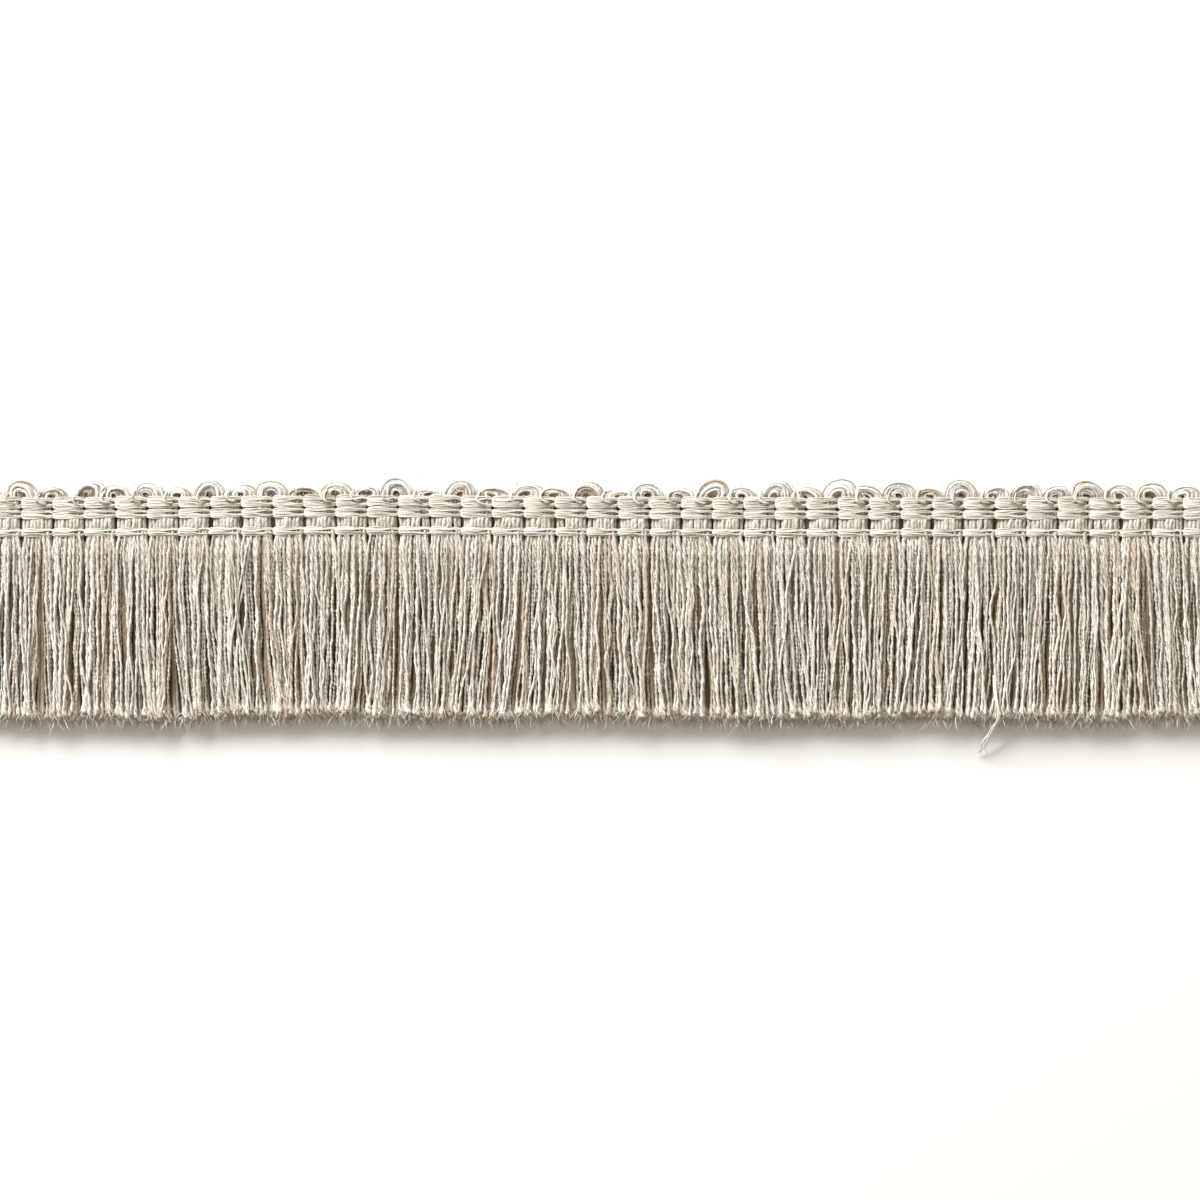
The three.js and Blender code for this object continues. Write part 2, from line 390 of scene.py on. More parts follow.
# Yarns: twist is in turns a millimetre on top of the mesh's own, relief is the depth of its grooves, and
# mottle_and_groove_shade is how strongly its fibres and slubs, and the painted shade in its grooves, show in
# its colour
YARNS = {
    "spun_linen": {"hues": BRUSH_HUES, "twist": 0.0, "relief": 0.07, "mottle_and_groove_shade": 1.0, "roughness": 0.82},
    "brush_linen": {"hues": BRUSH_HUES, "twist": 0.3, "relief": 0.07, "mottle_and_groove_shade": 0.9, "roughness": 0.82},
    "loop_linen": {"hues": LOOP_HUES, "twist": 0.12, "relief": 0.035, "mottle_and_groove_shade": 0.45, "roughness": 0.82},
    "warp_linen": {"hues": WARP_HUES, "twist": 0.12, "relief": 0.04, "mottle_and_groove_shade": 0.5, "roughness": 0.75},
}
YARN_SHEEN = 0.06
YARN_SHEEN_ROUGHNESS = 0.5
YARN_GLOSS = 0.25
GROOVE_POWER = 0.55
TONE_SHIFT = 57.0
FIBRE_NOISE = {"round": 2.4, "along": 1.7, "detail": 3.0}
SLUB_NOISE = {"along": 0.6, "detail": 2.0}
BUMP_STRENGTH = 0.9
BUMP_SHARE = 0.7
LOOSE_ROUGHNESS = 0.7
LOOSE_SHEEN = 0.05

# The room, in metres and watts
FLOOR_SIZE = 3.0
FLOOR_DROP = 0.00005
FLOOR_LOOK = {"Base Color": (0.84, 0.84, 0.84, 1.0), "Roughness": 0.9, "Specular IOR Level": 0.1}
FILL_COLOUR = (1.0, 0.925, 0.78, 1.0)
FILL_STRENGTH = 0.49
KEY_LAMP = {"width": 1.0, "height": 0.62, "energy": 41.5, "elevation": 26.0, "turned": 32.0, "distance": 1.3}

# The photograph's framing: its width in millimetres, and where its middle lies
PHOTO_WIDTH = 204.3
MIDDLE_RIGHT_OF_TALL_LOOP = 2.2
MIDDLE_BELOW_HEADING = 10.9
LENS = 110.0
SENSOR = 36.0
VIEW_DEPTH = 10.0


def smooth(share):
    """An even start and end between 0 and 1."""
    share = np.clip(share, 0.0, 1.0)
    return share * share * (3.0 - 2.0 * share)


def unit(vectors):
    """Vectors scaled to length 1."""
    return vectors / np.maximum(np.linalg.norm(vectors, axis=-1, keepdims=True), 1e-9)


def seeded(name, number=0):
    """The random numbers of one piece, the same in every run."""
    return np.random.default_rng(SEEDS[name] + number)


def factor(random, variation, shape):
    """A random factor around 1. variation is its spread, its lowest and its highest value."""
    spread, lowest, highest = variation
    return random.normal(1.0, spread, shape).clip(lowest, highest)


def bow(x):
    """How far the whole trim strays from a straight line."""
    return BOW["reach"] * np.exp(-(((x - BOW["centre"]) / BOW["width"]) ** 2)) - BOW["drop"]


def sway(x):
    """How far the brush has swung to the side at its tips, the same for every layer."""
    return sum(part["reach"] * np.sin(x / part["wave"] + part["start"]) for part in SWAYS)


def cut_edge(place):
    """How far the cut edge stops short of the longest thread. place is in bundles from the left end."""
    ripple = sum(part["reach"] * np.sin(place * part["rate"] + part["start"]) for part in CUT_EDGE)
    return ripple - LONGEST_PAST_MODEL


def spline(points, steps):
    """Smooth curves through rows of points, from (threads, rows, columns) to (threads, steps, columns)."""
    rows = points.shape[1]
    where = np.linspace(0.0, rows - 1.0, steps)
    low = np.minimum(where.astype(int), rows - 2)
    share = (where - low)[None, :, None]
    start, end = points[:, low], points[:, low + 1]
    slope_in = (end - points[:, np.maximum(low - 1, 0)]) / 2
    slope_out = (points[:, np.minimum(low + 2, rows - 1)] - start) / 2
    rise = share * share * (3.0 - 2.0 * share)
    return (
        start * (1.0 - rise)
        + end * rise
        + slope_in * share * (1.0 - share) ** 2
        - slope_out * share * share * (1.0 - share)
    )


def wander(random, threads, share, reach, waves):
    """A slow random drift of each thread along its length."""
    drift = np.zeros((threads, len(share)))
    for low, high in waves:
        count = random.uniform(low, high, (threads, 1))
        start = random.uniform(0.0, TURN, (threads, 1))
        size = random.normal(0.0, reach / len(waves), (threads, 1))
        drift += size * (np.sin(count * TURN * share + start) - np.sin(start))
    return drift


def thread_batch(paths, half, tones, shades, sides, flat=1.0, spin=0.0, capped=False):
    """Threads that have the same number of steps. paths is (threads, steps, 3). Each thread's section is half
    as wide as half says, flat is its height over its width, and spin turns it, in turns a millimetre."""
    return {
        "paths": paths,
        "half": np.broadcast_to(half, paths.shape[:2]),
        "tones": tones,
        "shades": np.broadcast_to(np.reshape(shades, (len(paths), -1)), paths.shape[:2]),
        "sides": sides,
        "flat": flat,
        "spin": spin,
        "capped": capped,
    }


def frames_along(paths):
    """Two directions across each thread at every step, and how far along the thread the step lies."""
    tangents = unit(np.gradient(paths, axis=1))
    steep = np.abs(tangents[..., 2:]) > 0.95
    up = np.where(steep, [1.0, 0.0, 0.0], [0.0, 0.0, 1.0])
    across = unit(np.cross(tangents, up))
    over = np.cross(across, tangents)
    lengths = np.linalg.norm(np.diff(paths, axis=1), axis=-1)
    along = np.concatenate([np.zeros((len(paths), 1)), np.cumsum(lengths, axis=1)], axis=1)
    return across, over, along


def batch_rings(batch):
    """The points of each thread's rings, and the coordinates, tones and painted shades that its material
    reads.
    """
    paths, sides = batch["paths"], batch["sides"]
    across, over, along = frames_along(paths)
    angles = TURN * np.arange(sides) / sides
    wide, high = np.cos(angles), np.sin(angles)
    turned = TURN * (batch["spin"] * along + batch["tones"][:, None])[..., None]
    half = batch["half"][..., None]
    side_part = half * (wide * np.cos(turned) - batch["flat"] * high * np.sin(turned))
    over_part = half * (wide * np.sin(turned) + batch["flat"] * high * np.cos(turned))
    offsets = across[:, :, None] * side_part[..., None] + over[:, :, None] * over_part[..., None]
    points = paths[:, :, None] + offsets
    coordinates = np.empty(points.shape)
    coordinates[..., 0] = wide
    coordinates[..., 1] = high
    coordinates[..., 2] = along[:, :, None]
    looks = np.empty(points.shape[:3] + (2,))
    looks[..., 0] = batch["tones"][:, None, None]
    looks[..., 1] = batch["shades"][..., None]
    return points.reshape(-1, 3), coordinates.reshape(-1, 3), looks.reshape(-1, 2)


def batch_faces(batch, first):
    """The quads between a batch's rings and the caps at its ends, as one list of corners and face sizes."""
    threads, steps, _ = batch["paths"].shape
    sides = batch["sides"]
    ring = first + (np.arange(threads)[:, None] * steps + np.arange(steps)) * sides
    here, ahead = ring[:, :-1, None], ring[:, 1:, None]
    corner = np.arange(sides)
    beside = (corner + 1) % sides
    quads = np.stack([here + corner, ahead + corner, ahead + beside, here + beside], axis=-1).reshape(-1, 4)
    corners, sizes = [quads.ravel()], [np.full(len(quads), 4)]
    if batch["capped"]:
        caps = np.concatenate([ring[:, :1] + corner, ring[:, -1:] + corner[::-1]])
        corners.append(caps.ravel())
        sizes.append(np.full(len(caps), sides))
    return np.concatenate(corners), np.concatenate(sizes)


def fill_mesh(mesh, points, corners, sizes):
    """Points in metres and faces with any number of corners."""
    mesh.vertices.add(len(points))
    mesh.vertices.foreach_set("co", points.astype(np.float32).ravel())
    mesh.loops.add(len(corners))
    mesh.loops.foreach_set("vertex_index", corners.astype(np.int32))
    mesh.polygons.add(len(sizes))
    starts = np.concatenate([[0], np.cumsum(sizes)[:-1]])
    mesh.polygons.foreach_set("loop_start", starts.astype(np.int32))
    mesh.polygons.foreach_set("use_smooth", np.ones(len(sizes), bool))
    mesh.update(calc_edges=True)


def add_attributes(mesh, coordinates, looks):
    """What the materials read: each point's place on its thread, and its thread's tone and painted shade."""
    thread = mesh.attributes.new("thread", "FLOAT_VECTOR", "POINT")
    thread.data.foreach_set("vector", coordinates.astype(np.float32).ravel())
    for column, attribute in enumerate(("tone", "shade")):
        values = mesh.attributes.new(attribute, "FLOAT", "POINT")
        values.data.foreach_set("value", looks[:, column].astype(np.float32))


def make_piece(name, batches, material, replaced=()):
    """One piece of the trim from its threads, riding on the trim's only body."""
    rings = [batch_rings(batch) for batch in batches]
    points, coordinates, looks = (np.concatenate(parts) for parts in zip(*rings))
    points[:, 1] += bow(points[:, 0])
    firsts = np.cumsum([0] + [len(ring[0]) for ring in rings[:-1]])
    faces = [batch_faces(batch, first) for batch, first in zip(batches, firsts)]
    corners, sizes = (np.concatenate(parts) for parts in zip(*faces))
    mesh = bpy.data.meshes.new(name)
    fill_mesh(mesh, points * MM, corners, sizes)
    add_attributes(mesh, coordinates, looks)
    mesh.materials.append(material)
    piece = bpy.data.objects.new(name, mesh)
    bpy.context.scene.collection.objects.link(piece)
    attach(piece, "root")
    if replaced:
        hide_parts(*replaced)


class Nodes:
    """Short calls for the nodes of one material."""

    def __init__(self, name):
        self.material = bpy.data.materials.new(name)
        self.material.use_nodes = True
        self.tree = self.material.node_tree
        self.shader = self.tree.nodes["Principled BSDF"]

    def add(self, kind, **settings):
        node = self.tree.nodes.new(kind)
        for key, value in settings.items():
            setattr(node, key, value)
        return node

    def fill(self, sockets, values):
        """Numbers and colours go into the sockets, and outputs of other nodes are joined to them."""
        for socket, value in zip(sockets, values):
            if isinstance(value, (int, float)):
                socket.default_value = value
            elif isinstance(value, tuple):
                socket.default_value = (*value, 1.0)
            else:
                self.tree.links.new(value, socket)

    def attribute(self, name):
        return self.add("ShaderNodeAttribute", attribute_name=name).outputs

    def math(self, operation, *values):
        node = self.add("ShaderNodeMath", operation=operation)
        self.fill(node.inputs, values)
        return node.outputs[0]

    def vector(self, *values):
        node = self.add("ShaderNodeCombineXYZ")
        self.fill(node.inputs, values)
        return node.outputs[0]

    def noise(self, vector, detail):
        node = self.add("ShaderNodeTexNoise")
        sockets = (node.inputs["Vector"], node.inputs["Scale"], node.inputs["Detail"])
        self.fill(sockets, (vector, 1.0, detail))
        return node.outputs["Fac"]

    def ramp(self, value, stops):
        node = self.add("ShaderNodeValToRGB")
        elements = node.color_ramp.elements
        while len(elements) < len(stops):
            elements.new(0.5)
        for element, (position, colour) in zip(elements, stops):
            element.position = position
            element.color = (*colour, 1.0)
        self.tree.links.new(value, node.inputs["Fac"])
        return node.outputs["Color"]

    def multiply(self, amount, first, second):
        """This node's colour sockets share their names with others, so they are counted."""
        node = self.add("ShaderNodeMix", data_type="RGBA", blend_type="MULTIPLY")
        self.fill((node.inputs[0], node.inputs[6], node.inputs[7]), (amount, first, second))
        return node.outputs[2]

    def finish(self, values):
        """The shader's even values. Returns the material."""
        for name, value in values.items():
            self.shader.inputs[name].default_value = value
        return self.material


def yarn_colour(nodes, look, tone, fibre, slub, groove):
    """The yarn's hue, mottled by its fibres and slubs, with painted shade in the grooves between plies and
    where the thread lies deep.
    """
    colour = nodes.ramp(tone, look["hues"])
    for value, stops in ((fibre, STREAKS), (slub, CLOUDS), (groove, PAINTED_GROOVE_SHADES)):
        colour = nodes.multiply(look["mottle_and_groove_shade"], colour, nodes.ramp(value, stops))
    shade = nodes.ramp(nodes.attribute("shade")["Fac"], PAINTED_SHADES)
    return nodes.multiply(1.0, colour, shade)


def yarn_relief(nodes, look, fibre, groove):
    """The bumps of the plies and of the fibres on them."""
    high_plies = nodes.math("MULTIPLY", groove, BUMP_SHARE)
    high_fibres = nodes.math("MULTIPLY", fibre, BUMP_SHARE)
    bump = nodes.add("ShaderNodeBump")
    sockets = (bump.inputs["Strength"], bump.inputs["Distance"], bump.inputs["Height"])
    height = nodes.math("ADD", high_plies, high_fibres)
    nodes.fill(sockets, (BUMP_STRENGTH, look["relief"] * MM, height))
    return bump.outputs[0]


def yarn_material(name, look):
    """Plied linen. The hues are spread over the threads by their tone, fibres run round each ply, and the
    grooves between plies are lower and painted darker, as painted shade."""
    nodes = Nodes(name)
    parts = nodes.add("ShaderNodeSeparateXYZ")
    nodes.fill(parts.inputs, (nodes.attribute("thread")["Vector"],))
    cosine, sine, along = parts.outputs
    tone = nodes.attribute("tone")["Fac"]
    turns = nodes.math("MULTIPLY", along, TURN * look["twist"])
    twisted = nodes.math("ADD", nodes.math("ARCTAN2", sine, cosine), turns)
    wide = nodes.math("COSINE", twisted)
    groove = nodes.math("POWER", nodes.math("ABSOLUTE", wide), GROOVE_POWER)
    shift = nodes.math("MULTIPLY", tone, TONE_SHIFT)
    round_ply = nodes.vector(
        nodes.math("MULTIPLY", wide, FIBRE_NOISE["round"]),
        nodes.math("MULTIPLY", nodes.math("SINE", twisted), FIBRE_NOISE["round"]),
        nodes.math("ADD", nodes.math("MULTIPLY", along, FIBRE_NOISE["along"]), shift),
    )
    fibre = nodes.noise(round_ply, FIBRE_NOISE["detail"])
    down_thread = nodes.vector(nodes.math("MULTIPLY", along, SLUB_NOISE["along"]), shift, 0.0)
    slub = nodes.noise(down_thread, SLUB_NOISE["detail"])
    colour = yarn_colour(nodes, look, tone, fibre, slub, groove)
    relief = yarn_relief(nodes, look, fibre, groove)
    nodes.fill((nodes.shader.inputs["Base Color"], nodes.shader.inputs["Normal"]), (colour, relief))
    return nodes.finish({
        "Roughness": look["roughness"],
        "Sheen Weight": YARN_SHEEN,
        "Sheen Roughness": YARN_SHEEN_ROUGHNESS,
        "Specular IOR Level": YARN_GLOSS,
    })


def fibre_material():
    """Single loose linen fibres, from tan to cream by their tone."""
    nodes = Nodes("linen_fibre")
    colour = nodes.ramp(nodes.attribute("tone")["Fac"], FIBRE_HUES)
    nodes.fill((nodes.shader.inputs["Base Color"],), (colour,))
    return nodes.finish({"Roughness": LOOSE_ROUGHNESS, "Sheen Weight": LOOSE_SHEEN})


def clump_edges(name, sizes):
    """The places that divide the brush into clumps, the same for all its layers."""
    smallest, largest = sizes
    count = int(2.0 * TRIM_LENGTH / smallest)
    return LEFT_END - largest + np.cumsum(seeded(name).uniform(smallest, largest, count))


def to_clump(places, edges):
    """How far each place lies from the middle of its clump."""
    above = np.clip(np.searchsorted(edges, places), 1, len(edges) - 1)
    return ((edges[above - 1] + edges[above]) / 2 - places)[:, None]


LOCK_EDGES = clump_edges("locks", LOCKS["sizes"])
TUFT_EDGES = clump_edges("tufts", TUFTS["sizes"])


def lighten_ends(shades):
    """The threads at both ends of the trim show from the side, so they get no painted depth shade
    and are as light as those on its face.
    """
    shades[:END_THREADS] = END_SHADE
    shades[-END_THREADS:] = END_SHADE
    return shades


def gathering(random, layer, free_x, freed):
    """How far each thread is drawn into its lock on the way down, and into its tuft at the end."""
    closed_at = random.uniform(*LOCKS["closed_at"], len(free_x))[:, None]
    closing = smooth(freed / closed_at) * smooth((LOCKS["open_at"] - freed) / LOCKS["opening"])
    locks = to_clump(free_x, LOCK_EDGES) * closing * LOCKS["strength"]
    tufts = to_clump(free_x, TUFT_EDGES) * smooth((freed - TUFTS["start"]) / TUFTS["closing"])
    return layer["gather"] * (locks + tufts)


def places_along(random, layer, place, share, out):
    """X of every step: from the thread's bundle to its own place, with its sway, locks, waves and lean."""
    threads = len(place)
    freed = out / BRUSH_LENGTH
    bundle = np.floor(np.clip(place, 0, BUNDLES - 1e-6))
    held = bundle + 0.5 + (place - bundle - 0.5) * BUNDLE_WIDTH
    free_x = LEFT_END + place * PITCH
    held_x = LEFT_END + held * PITCH
    x = held_x[:, None] + (free_x - held_x)[:, None] * smooth(out / GAP_CLOSING_LENGTH)
    x += sway(free_x - MIDDLE)[:, None] * freed**2
    x += gathering(random, layer, free_x, freed)
    x += wander(random, threads, share, layer["wander"], SLOW_WAVES) * smooth(freed / FREE_AFTER)
    x += wander(random, threads, share, **FINE_WANDER)
    x += random.normal(0.0, layer["lean"], threads)[:, None] * freed
    return x


def heights_along(random, layer, share, out, settled):
    """Z of every step before the thread's own thickness: up from under the band, and down to its level."""
    threads = len(out)
    level = random.uniform(layer["low"], layer["high"], threads)[:, None]
    lifted = smooth((out + ROOT_DEPTH / 2) / LIFT_LENGTH)
    height = layer["root"] + (layer["crest"] - layer["root"]) * lifted + (level - layer["crest"]) * settled
    z = height * BRUSH_THICKNESS * (1.0 - TIP_SINK * (out / BRUSH_LENGTH) ** 2)
    return z + wander(random, threads, share, **HEIGHT_WANDER)


def half_widths(random, layer, share, settled):
    """Half the thickness of every step. The threads are softer and fuller under the band."""
    threads = len(settled)
    half = layer["thickness"] / 2 * factor(random, BRUSH_THICKNESSES, threads)[:, None]
    half = half * (1.0 + wander(random, threads, share, **THICKNESS_WANDER))
    return half * (1.0 + ROOT_SPREAD * (1.0 - settled))


def brush_shades(random, layer, settled, from_end):
    """Painted shade from the root under the band over the thread's own one to the tip's."""
    own_shade = lighten_ends(random.uniform(*layer["shade"], len(settled)))[:, None]
    shades = layer["root_shade"] + (own_shade - layer["root_shade"]) * settled
    return shades + (layer["tip_shade"] - shades) * smooth(1.0 - from_end / TIP_SHADE_LENGTH)


def brush_layer(random, layer):
    """The threads of one layer, each from under the lower band to its cut end."""
    threads = BUNDLES * layer["per_bundle"]
    share = np.linspace(0.0, 1.0, layer["steps"])
    jitter = random.uniform(-layer["jitter"], layer["jitter"], threads)
    place = (np.arange(threads) + 0.5 + jitter) / layer["per_bundle"]
    short = layer["short"] * random.uniform(*SHORT_SHARES, threads)
    length = (BRUSH_LENGTH + ROOT_DEPTH - cut_edge(place) - short)[:, None]
    down = share * length
    out = np.clip(down - ROOT_DEPTH, 0.0, None)
    settled = smooth((out - LIFT_LENGTH / 2) / SETTLE_LENGTH)
    x = places_along(random, layer, place, share, out)
    z = heights_along(random, layer, share, out, settled)
    half = half_widths(random, layer, share, settled)
    z = z - (half - layer["thickness"] / 2) * (1.0 - settled)
    from_end = length - down
    flare = layer["flare"] * random.uniform(*FLARE_SHARES, (threads, 1))
    swelling = half * flare * smooth(1.0 - from_end / FLARE_LENGTH)
    half = half + swelling
    z = np.maximum(z - SWELLING_SINK * swelling, half)
    paths = np.stack([x, HEADING_BASE + ROOT_DEPTH - down, z], axis=-1)
    shades = brush_shades(random, layer, settled, from_end)
    tones = random.uniform(0.0, 1.0, threads)
    flat = FLATTENING if layer["spin"] else 1.0
    return thread_batch(paths, half, tones, shades, layer["sides"], flat, layer["spin"], capped=True)


def cut_ends(random, threads, fray):
    """Frayed fibres at the cut ends of one layer's threads."""
    paths = threads["paths"]
    tips = np.repeat(paths[:, -1], fray["per_thread"], axis=0)
    heading = np.repeat(unit(paths[:, -1] - paths[:, -3]), fray["per_thread"], axis=0)
    half = np.repeat(threads["half"][:, -1], fray["per_thread"])[:, None]
    count = len(tips)
    spread = random.normal(0.0, 1.0, (count, 3)) * FRAY_DIRECTIONS
    start = tips + spread * half * 0.5 - heading * random.uniform(*FRAY_START, (count, 1))
    reach = random.uniform(*FRAY_LENGTHS, (count, 1)) * fray["longest"]
    end = start + heading * reach + spread * reach * fray["spread"]
    share = np.linspace(0.0, 1.0, len(FRAY_HALF_WIDTHS))[None, :, None]
    bend = random.normal(0.0, FRAY_BEND, (count, 1, 3)) * share * (1.0 - share) * 4.0
    fibres = start[:, None] * (1.0 - share) + end[:, None] * share + bend
    fibres[..., 2] = np.maximum(fibres[..., 2], FRAY_LOWEST)
    tones = random.uniform(*fray["tones"], count)
    return thread_batch(fibres, np.array(FRAY_HALF_WIDTHS), tones, tones, FIBRE_SIDES)


def weft_shades(random, row, inside, bare):
    """Painted shade: darker under the bands and at each bundle's last thread, and lighter where the loops
    begin.
    """
    own_shade = random.uniform(*row["shade"], len(inside))
    own_shade = lighten_ends(own_shade * np.where(inside > LAST_THREAD, LAST_THREAD_SHADE, 1.0))
    shades = own_shade[:, None] * (row["covered_shade"] + (1.0 - row["covered_shade"]) * bare)
    shades[:, -1] = np.maximum(shades[:, -1], TOP_SHADE)
    return shades


def weft_row(random, row, bare):
    """One row of weft threads, side by side over all the bundles."""
    threads = BUNDLES * row["per_bundle"]
    bundle, number = np.divmod(np.arange(threads), row["per_bundle"])
    inside = (number + 0.5) / row["per_bundle"] + random.normal(0.0, WEFT_JITTER["place"], threads)
    width = row["width"] + random.normal(0.0, WEFT_JITTER["width"], BUNDLES)[bundle]
    x = LEFT_END + (bundle + 0.5 + (inside - 0.5) * width)[:, None] * PITCH
    x = x + wander(random, threads, np.linspace(0.0, 1.0, len(bare)), **WEFT_WANDER)
    rounding = np.abs(2.0 * inside - 1.0)[:, None] ** WEFT_ROUNDING
    z = row["crown"] - (row["crown"] - row["edge"]) * rounding
    z = z + row["swell"] * bare * (1.0 - SWELL_ROUNDING * rounding)
    z = z + random.normal(0.0, WEFT_JITTER["height"], (threads, 1))
    half = row["thickness"] / 2 * factor(random, WEFT_THICKNESSES, (threads, 1))
    y = np.broadcast_to(HEADING_BASE + WEFT_STATIONS, x.shape)
    paths = np.stack([x, y, np.maximum(z, half)], axis=-1)
    shades = weft_shades(random, row, inside, bare)
    tones = random.uniform(*HEADING_TONES, threads)
    return thread_batch(paths, half, tones, shades, row["sides"])


def weft_rows(random):
    """The weft in the heading, which swells in the bare strip between two bands."""
    from_strip = np.maximum(BARE_STRIP["low"] - WEFT_STATIONS, WEFT_STATIONS - BARE_STRIP["high"])
    bare = smooth(1.0 - from_strip / BARE_STRIP["edge"])
    return [weft_row(random, row, bare) for row in WEFT_ROWS]


def loop_ring(random, loop, nests, ring):
    """One arch of every nest that keeps this ring."""
    top = HEADING_BASE + HEADING_HEIGHT
    kept = random.uniform(0.0, 1.0, len(nests["gaps"])) < ring["kept"]
    count = int(kept.sum())
    size = ring["share"] * random.normal(1.0, RING_JITTER["size"], count)
    rise = loop["rise"] * nests["growth"][kept] * size * random.normal(1.0, RING_JITTER["rise"], count)
    place = LEFT_END + nests["gaps"][kept] * PITCH - CORE_LEFT_OF_GAP
    place = place + random.normal(0.0, RING_JITTER["place"], count)
    place = place + nests["drift"][kept] * ring["share"] ** 2
    left_size, right_size = random.normal(1.0, RING_JITTER["side"], (2, count))
    tip = nests["lean"][kept] + random.normal(0.0, RING_JITTER["tip"], count)
    level = random.uniform(*RING_LEVELS, count)
    rows = []
    for row in ARCH:
        width = loop["reach"] * size * (right_size if row["side"] > 0 else left_size)
        x = place + row["side"] * width + tip * max(row["up"], 0.0)
        y = top + (rise * row["up"] if row["up"] > 0 else np.full(count, row["up"]))
        z = level * row["height"] + random.normal(0.0, RING_JITTER["height"], count)
        rows.append(np.stack([x, y, z], axis=-1))
    paths = spline(np.stack(rows, axis=1), ARCH_STEPS)
    half = ring["thickness"] / 2 * factor(random, LOOP_THICKNESSES, (count, 1))
    # painted shade at the loop's feet
    foot = FOOT_SHADE + (1.0 - FOOT_SHADE) * smooth((paths[..., 1] - top) / FOOT_HEIGHT)
    shades = random.uniform(*ring["shade"], count)[:, None] * foot
    tones = random.uniform(*HEADING_TONES, count)
    return thread_batch(paths, half, tones, shades, LOOP_SIDES, FLATTENING)


def loop_threads(random):
    """The nests of weft threads that turn over the top edge, above each gap between two bundles."""
    batches = []
    for loop in LOOPS:
        gaps = np.arange(loop["first"], BUNDLES, len(LOOPS))
        nests = {
            "gaps": gaps,
            "growth": factor(random, loop["growth"], len(gaps)),
            "lean": random.normal(0.0, LOOP_LEAN, len(gaps)),
            "drift": random.normal(*LOOP_DRIFT, len(gaps)),
        }
        batches += [loop_ring(random, loop, nests, ring) for ring in LOOP_RINGS]
    return batches


def eye_strands(random):
    """The strands that leave the loops over the top band and dive into its eyes."""
    batches = []
    for _ in range(EYE_STRANDS_PER_GAP):
        gaps = np.arange(1, BUNDLES)
        kept = gaps[random.uniform(0.0, 1.0, len(gaps)) < EYE_STRANDS_KEPT]
        count = len(kept)
        reach = random.normal(1.0, EYE_STRAND_JITTER["reach"], count)
        lift = random.normal(0.0, EYE_STRAND_JITTER["lift"], count)
        rows = []
        for row in EYE_STRAND:
            x = LEFT_END + kept * PITCH - row["left"] * reach
            y = HEADING_BASE + row["up"] + lift + random.normal(0.0, EYE_STRAND_JITTER["up"], count)
            rows.append(np.stack([x, y, np.full(count, row["height"])], axis=-1))
        paths = spline(np.stack(rows, axis=1), EYE_STRAND_STEPS)
        half = random.uniform(*EYE_STRAND_HALF_WIDTHS, (count, 1))
        shades = random.uniform(*EYE_STRAND_SHADES, count)
        tones = random.uniform(0.0, 1.0, count)
        batches.append(thread_batch(paths, half, tones, shades, EYE_STRAND_SIDES))
    return batches


def stitch_strand(random, band, stitches, strand):
    """One strand of every stitch in a band."""
    half_band = band["width"] / 2
    across = 2.0 * (strand + 0.5) / band["strands"] - 1.0
    side = 1.0 if across > 0 else -1.0
    thickness = STRAND_OVERLAP * half_band / band["strands"]
    rows = []
    for row in STITCH:
        spread = (across * row["spread"] + side * row["eye"] * stitches["eye"]) * stitches["fullness"]
        x = LEFT_END + (np.arange(BUNDLES) + row["along"] + stitches["shift"]) * PITCH
        tilt = stitches["tilt"] * (row["along"] - TILT_CENTRE)
        y = HEADING_BASE + band["centre"] + (spread + tilt) * half_band
        y = y + random.normal(0.0, STITCH_JITTER["across"], BUNDLES)
        z = row["height"] + band["lift"] - band["crown"] * abs(across) ** CROWN_ROUNDING
        z = z + random.normal(0.0, STITCH_JITTER["height"], BUNDLES)
        size = np.full(BUNDLES, thickness * row["size"])
        shade = np.full(BUNDLES, row["shade"])
        rows.append(np.stack([x, y, z, size, shade], axis=-1))
    curves = spline(np.stack(rows, axis=1), STITCH_STEPS)
    paths, sizes, row_shades = curves[..., :3], curves[..., 3], curves[..., 4]
    half = sizes * factor(random, STRAND_THICKNESSES, (BUNDLES, 1))
    # painted shade darkens the strands at the band's upper edge
    edge_painted_shade = 1.0 - UPPER_EDGE_PAINTED_SHADE * max(across, 0.0) ** 4
    shades = row_shades * (random.uniform(*STRAND_SHADES, BUNDLES) * edge_painted_shade)[:, None]
    tones = random.uniform(0.0, 1.0, BUNDLES)
    return thread_batch(paths, half, tones, shades, STRAND_SIDES, STRAND_FLATNESS, capped=True)


def band_stitches(random, band):
    """One warp band: a chain stitch of soft strands over each bundle, parted round an eye near the gap."""
    stitches = {
        "fullness": factor(random, STITCH_FULLNESS, BUNDLES),
        "tilt": random.normal(0.0, STITCH_JITTER["tilt"], BUNDLES),
        "shift": random.normal(0.0, STITCH_JITTER["shift"], BUNDLES),
        "eye": random.uniform(*EYE_SIZES, BUNDLES),
    }
    return [stitch_strand(random, band, stitches, strand) for strand in range(band["strands"])]


